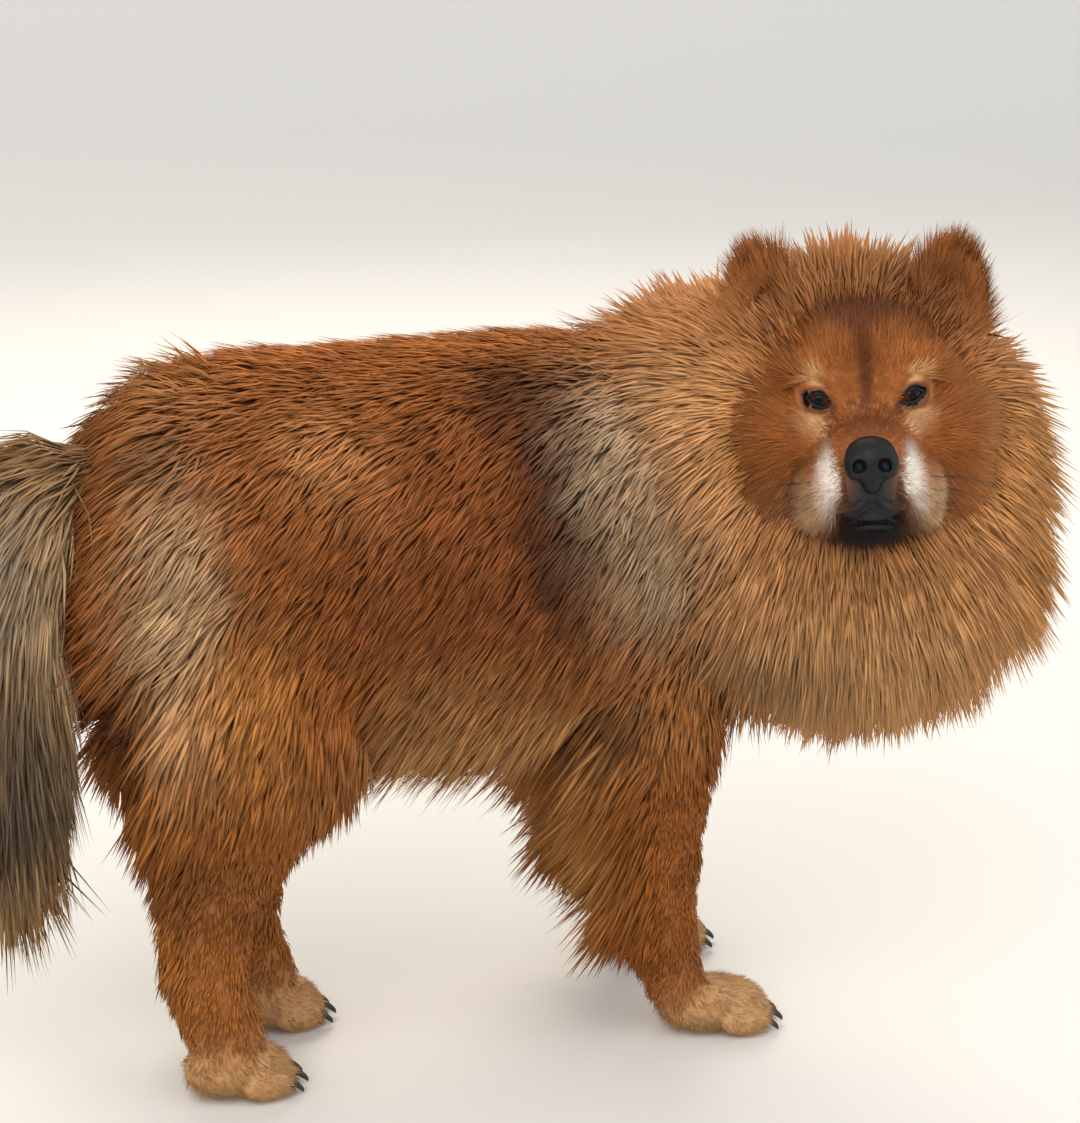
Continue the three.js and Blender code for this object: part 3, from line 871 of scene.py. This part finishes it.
# many tufts in one mesh, each a closed three-sided blade that bends from root to tip
def tuftPiece(name, material, curve, normals, widths, rings, colours, uvs):
    start, middle, tip = curve
    count = len(start)
    levels = np.append(np.linspace(0, 0.58, rings), 1.0)
    points, across, upright = [], [], []
    for s in levels:
        at = (1 - s) ** 2 * start + 2 * s * (1 - s) * middle + s**2 * tip
        way = unit((1 - s) * (middle - start) + s * (tip - middle))
        side = unit(np.cross(way, normals))
        face = np.cross(side, way)
        half = (widths * 0.5 * (1 - s**2.2) * (0.75 + 0.5 * min(s * 2, 1)))[:, None]
        if s == 1:
            points.append(at[:, None])
        else:
            ring = [at - side * half, at + side * half, at + face * half * 0.55]
            points.append(np.stack(ring, 1))
    vertices = np.concatenate(points, 1)
    each = vertices.shape[1]
    faces = [(0, 1, 2)]
    for ring in range(rings - 1):
        for i in range(3):
            a, b = 3 * ring + i, 3 * ring + (i + 1) % 3
            faces += [(a, a + 3, b + 3), (a, b + 3, b)]
    last = 3 * (rings - 1)
    faces += [(last + i, each - 1, last + (i + 1) % 3) for i in range(3)]  # up to the tip
    triangles = (np.array(faces)[None] + each * np.arange(count)[:, None, None]).reshape(-1, 3)
    shade = np.repeat(colours[:, None], each, 1).reshape(-1, 3)
    piece = meshObject(name, vertices.reshape(-1, 3), triangles, material, shade)
    slopes = np.repeat(normals[:, None], each, 1).astype(np.float32)
    slopeLayer = piece.data.attributes.new("coatNormal", "FLOAT_VECTOR", "POINT")
    slopeLayer.data.foreach_set("vector", slopes.ravel())
    # each tuft is a small patch at its root's place on the skin's unwrap
    ringAcross = np.array([0.0, 1.0, 0.5] * rings + [0.5])
    ringAlong = np.append(np.repeat(levels[:-1], 3), 1.0)
    patch = uvs[:, None] + patchSize * (np.stack([ringAcross, ringAlong], 1)[None] - 0.5)
    bake = patch.reshape(-1, 2)[triangles.ravel()]
    shift = draw.uniform(0, 50, (count, 1, 1)) * [1, 0]
    strand = (np.stack([ringAcross, ringAlong], 1)[None] + shift).reshape(-1, 2)[triangles.ravel()]
    for layer, values in (("OFBake", bake), ("strand", strand)):
        piece.data.uv_layers.new(name=layer).data.foreach_set("uv", values.astype(np.float32).ravel())
    return piece


def growCoat(group, plan):
    rings = plan["rings"]
    count = plan["count"] // 1
    roots, normals, uvs, weights = growRoots(group, count)
    ways = np.zeros_like(roots)
    lengths = np.zeros(count)
    # neighbours' lies and lengths run into one another
    for i, other in enumerate(groups):
        share = weights[:, i]
        touched = share > 0.02
        if touched.any():
            ways[touched] += share[touched, None] * unit(lieOf(other, roots[touched], normals[touched]))
            lengths[touched] += share[touched] * lengthOf(other, roots[touched], normals[touched])
    ways += draw.normal(0, 0.16, ways.shape)
    ways = unit(ways - (ways * normals).sum(1)[:, None] * normals)
    lengths = lengths * draw.uniform(0.5, 1.15, count)
    long = lengths[:, None]
    stand = plan["stand"] * draw.uniform(0.6, 1.4, (count, 1)) * standOf(group, roots, normals)[:, None]
    start = roots - normals * 0.002
    middle = roots + (normals * plan["rise"] + ways * 0.42) * long
    tip = roots + (normals * stand + ways * 0.92) * long - up * plan["droop"] * long
    leaders = clumpLeaders(roots, clumpSize)
    pull = plan["clump"] * draw.uniform(0.5, 1.2, (count, 1))
    tip = tip * (1 - pull) + (tip[leaders] + (roots - roots[leaders]) * 0.25) * pull
    middle = middle * (1 - 0.4 * pull) + (middle[leaders] + (roots - roots[leaders]) * 0.7) * 0.4 * pull
    tip[:, 2] = np.maximum(tip[:, 2], lowestHair)
    middle[:, 2] = np.maximum(middle[:, 2], lowestHair)
    seen = roots + 0.5 * (tip - roots)
    colours = markingsAndPaintedLight(np.where(lengths[:, None] > 0.03, seen, roots), weights)
    clumpShade = draw.normal(1, 0.09, count)[leaders]
    colours = colours * (clumpShade * draw.normal(1, 0.07, count))[:, None]
    widths = plan["width"] * (0.5 + 0.5 * lengths / lengths.mean()) * 1
    material = longHair if rings > 1 else shortHair
    facesEach = 6 * rings - 2
    parts = np.array_split(np.argsort(roots[:, 1]), math.ceil(count * facesEach / mostTriangles))
    for i, part in enumerate(parts):
        curve = (start[part], middle[part], tip[part])
        shades = np.clip(colours[part], 0, 1)
        name = f"coat_{group}_{i + 1}"
        piece = tuftPiece(name, material, curve, normals[part], widths[part], rings, shades, uvs[part])
        place(piece, plan["slot"])
    print("coat", group, count)


for group, plan in coatPlans.items():
    growCoat(group, plan)


# Nose, eyes, lips and claws
def noseField(p):
    h = toHead(p)
    d = ellipsoid(h, (0.111, 0, -0.031), (0.0165, 0.0195, 0.0160))
    d = smoothMin(d, ellipsoid(h, (0.108, 0, -0.025), (0.0150, 0.0175, 0.0120)), 0.006)
    for side in sides:
        d = smoothMin(d, ellipsoid(h, (0.1165, side * 0.0115, -0.034), (0.0105, 0.0098, 0.0110)), 0.004)
        d = carve(d, ellipsoid(h, (0.1280, side * 0.0098, -0.0330), (0.0085, 0.0054, 0.0058)), 0.0020)
        slit = rod(h, (0.124, side * 0.0125, -0.036), (0.115, side * 0.0205, -0.0385), 0.0012)
        d = carve(d, slit, 0.002)
    d = smoothMin(d, ellipsoid(h, (0.112, 0, -0.047), (0.009, 0.008, 0.010)), 0.006)
    return carve(d, rod(h, (0.131, 0, -0.027), (0.122, 0, -0.056), 0.0010), 0.0016)


noseMiddle = fromHead((0.112, 0, -0.036))[0]
noseReach = 0.032
noseStep = 0.0008
noseLow, noseHigh = noseMiddle - noseReach, noseMiddle + noseReach
nosePoints, noseTriangles, _ = surfaceOf(noseField, noseLow, noseHigh, noseStep)
nosePoints = settle(nosePoints, noseField, 2, 0.001)
place(meshObject("nose_leather", nosePoints, noseTriangles, noseLeather), "nose_skin", "nose")


# an eyeball: pupil, iris and dark rim by the angle from where it looks
def ballPiece(name, centre, radius, axis):
    around, rows = 48, 32
    rounds = np.linspace(0, 2 * np.pi, around, endpoint=False)
    turns, falls = np.meshgrid(rounds, np.linspace(0, np.pi, rows + 1), indexing="ij")
    points = [np.sin(falls) * np.cos(turns), np.sin(falls) * np.sin(turns), np.cos(falls)]
    points = np.stack(points, -1).reshape(-1, 3)
    faces = []
    for i in range(around):
        for j in range(rows):
            a, b = i * (rows + 1) + j, (i + 1) % around * (rows + 1) + j
            faces += [(a, a + 1, b + 1), (a, b + 1, b)]
    gaze = np.degrees(np.arccos(np.clip(points @ axis, -1, 1)))[:, None]
    iris = toLinear("#3b1d0c") * (1 - fade(gaze, 34, 42)) + toLinear("#0b0706") * fade(gaze, 34, 42)
    shade = toLinear("#020202") * (1 - fade(gaze, 17, 20)) + iris * fade(gaze, 17, 20)
    return meshObject(name, centre + radius * points, np.array(faces), eyeGloss, shade)


def tubePiece(name, path, radii, material, closed=False):
    path = np.array(path)
    around = 12
    run = np.roll(path, -1, 0) - np.roll(path, 1, 0) if closed else np.gradient(path, axis=0)
    run = unit(run)
    side = unit(np.cross(run, up))
    lift = np.cross(side, run)
    turns = np.linspace(0, 2 * np.pi, around, endpoint=False)
    ring = side[:, None] * np.cos(turns)[None, :, None] + lift[:, None] * np.sin(turns)[None, :, None]
    points = (path[:, None] + ring * np.array(radii).reshape(-1, 1, 1)).reshape(-1, 3)
    count = len(path)
    faces = []
    for i in range(count if closed else count - 1):
        for j in range(around):
            a, b = i * around + j, i * around + (j + 1) % around
            c, d = (i + 1) % count * around + j, (i + 1) % count * around + (j + 1) % around
            faces += [(a, b, d), (a, d, c)]
    return meshObject(name, points, np.array(faces), material)


handOf = {-1: "right", 1: "left"}
lidRim = {"long": 0.0104, "tall": 0.0052, "reach": 0.0133, "thick": 0.0015, "count": 64}
for side in sides:
    hand = handOf[side]
    eye = eyeAt(side)
    gazeWay = unit(np.array([1, 0.16 * side, -0.05])) @ headAxes.T
    ball = ballPiece(f"eyeball_{hand}", fromHead(eye)[0], eyeRadius, gazeWay)
    place(ball, "eye", f"eye_{hand}")
    turns = np.linspace(0, 2 * np.pi, lidRim["count"], endpoint=False)
    a = lidRim["long"] * np.cos(turns)
    b = lidRim["tall"] * np.sin(turns) * (1 - (a / eyeRadius) ** 2) ** 0.5
    tilt = lidTilt * side
    y = a * math.cos(tilt) - b * math.sin(tilt)
    z = a * math.sin(tilt) + b * math.cos(tilt)
    x = np.sqrt(np.maximum(lidRim["reach"] ** 2 - y**2 - z**2, 1e-6))
    lidLine = fromHead(eye + np.stack([x, y, z], 1))
    thicknesses = np.full(lidRim["count"], lidRim["thick"])
    rim = tubePiece(f"lid_rim_{hand}", lidLine, thicknesses, lipLeather, closed=True)
    place(rim, "lip_skin")

# the right half of each lip, in the head's frame
upperLip = [
    [0.099, -0.021, -0.0825],
    [0.1075, -0.014, -0.0785],
    [0.1130, -0.007, -0.0725],
    [0.1160, 0, -0.0680],
]
lowerLip = [[0.097, -0.017, -0.0865], [0.1030, -0.009, -0.0850], [0.1055, 0, -0.0840]]
lipPoints = 60


def curveThrough(places, count):
    return smoothPath([[*spot, 0, 0] for spot in places], count)[:, :3]


def bothSides(half):
    return half + [[x, -y, z] for x, y, z in reversed(half[:-1])]


lipPaths = {"upper_lip": (bothSides(upperLip), 0.0014), "lower_lip": (bothSides(lowerLip), 0.0024)}
for name, (stations, thick) in lipPaths.items():
    radii = thick * np.sqrt(np.clip(1 - np.linspace(-1, 1, lipPoints) ** 4, 0.02, 1))
    path = fromHead(curveThrough(stations, lipPoints))
    place(tubePiece(name, path, radii, lipLeather), "lip_skin")

whiskers = {"rows": (-0.046, -0.054, -0.062), "columns": 4, "radius": 0.00028, "points": 8}
for side in sides:
    number = 0
    for row, height in enumerate(whiskers["rows"]):
        for column in range(whiskers["columns"]):
            number += 1
            out = side * (0.034 + 0.006 * column)
            root = np.array([0.096 - 0.009 * column, out, height - 0.002 * column])
            reachOut = np.array([0.012, side * 0.030, -0.004 - 0.004 * row]) * (0.8 + 0.15 * column)
            tip = root + 1.9 * reachOut - [0.01, 0, 0.006]
            stalk = curveThrough([root, root + reachOut, tip], whiskers["points"])
            radii = whiskers["radius"] * np.linspace(1, 0.15, whiskers["points"])
            name = f"whisker_{handOf[side]}_{number}"
            place(tubePiece(name, fromHead(stalk), radii, clawHorn), "face_fur")

clawPoints = 14
clawRadius = 0.0036
for paw in paws:
    half = paw["length"] / 2
    for number, toe in enumerate(toePlaces):
        root = np.array([half - toeReach(toe) + 0.012, toe * toeStep, 0.0135])
        bends = [root, root + [0.009, 0, -0.001], root + [0.016, 0, -0.0065], root + [0.0185, 0, -0.0105]]
        path = curveThrough(bends, clawPoints) @ paw["axes"] + paw["base"]
        radii = clawRadius * np.sqrt(np.linspace(1, 0.02, clawPoints))
        place(tubePiece(f"claw_{paw['name']}_{number + 1}", path, radii, clawHorn), "paw_fur")
print("face and claws made")

# Floor, light and camera
stageSizes = {"width": 24.0, "front": 6.0, "back": 3.5, "bend": 2.0, "wall": 8.0}
# matt pale board that lets the coat's colours stand out
paleStage = plainMaterial("paleStage", "#e6e3de", 0.8, 1.45)
bendTurns = np.linspace(0, np.pi / 2, 25)
bendY = stageSizes["back"] + stageSizes["bend"] * np.sin(bendTurns)
bendZ = stageSizes["bend"] * (1 - np.cos(bendTurns))
start = [-stageSizes["front"], 0]
end = [bendY[-1], stageSizes["wall"]]
profile = np.array([start, *np.stack([bendY, bendZ], 1), end])
halfWidth = stageSizes["width"] / 2
edges = [np.insert(profile, 0, x, axis=1) for x in (-halfWidth, halfWidth)]
rows = len(profile)
strips = [[(i, i + rows, i + rows + 1), (i, i + rows + 1, i + 1)] for i in range(rows - 1)]
floor = meshObject("floor", np.vstack(edges) - offset, np.array(strips).reshape(-1, 3), paleStage)
target = Vector(offset) + Vector((0.02, -0.05, 0.36))


def addLight(name, at, size, power, hexColour):
    lamp = bpy.data.lights.new(name, "AREA")
    lamp.size = size
    lamp.energy = power
    lamp.color = toLinear(hexColour)
    holder = bpy.data.objects.new(name, lamp)
    bpy.context.scene.collection.objects.link(holder)
    holder.location = target + Vector(at)
    holder.rotation_euler = (-Vector(at)).to_track_quat("-Z", "Y").to_euler()


addLight("key", (-1.3, -2.2, 2.1), 2.4, 52, "#fff6ea")
addLight("fill", (2.2, -1.6, 1.2), 3.0, 20, "#f1f4ff")
addLight("rim", (0.4, 2.2, 2.0), 2.0, 50, "#fff2dd")
world = bpy.data.worlds.new("softStudio")
bpy.context.scene.world = world
world.use_nodes = True
world.node_tree.nodes["Background"].inputs["Color"].default_value = (*toLinear("#eef0f2"), 1)
world.node_tree.nodes["Background"].inputs["Strength"].default_value = 1.0

cameraPlan = {"at": (-0.638, -2.270, 1.130), "down": 17.0, "turn": -17.5, "lens": 96.17, "sensor": 36.0}
lens = bpy.data.cameras.new("camera")
lens.lens = cameraPlan["lens"]
lens.sensor_width = cameraPlan["sensor"]
camera = bpy.data.objects.new("camera", lens)
bpy.context.scene.collection.objects.link(camera)
camera.location = Vector(offset) + Vector(cameraPlan["at"])
camera.rotation_euler = (math.radians(90 - cameraPlan["down"]), 0, math.radians(cameraPlan["turn"]))
bpy.context.scene.camera = camera
bpy.context.scene.view_settings.view_transform = "Standard"

print("stage, lights and camera set")
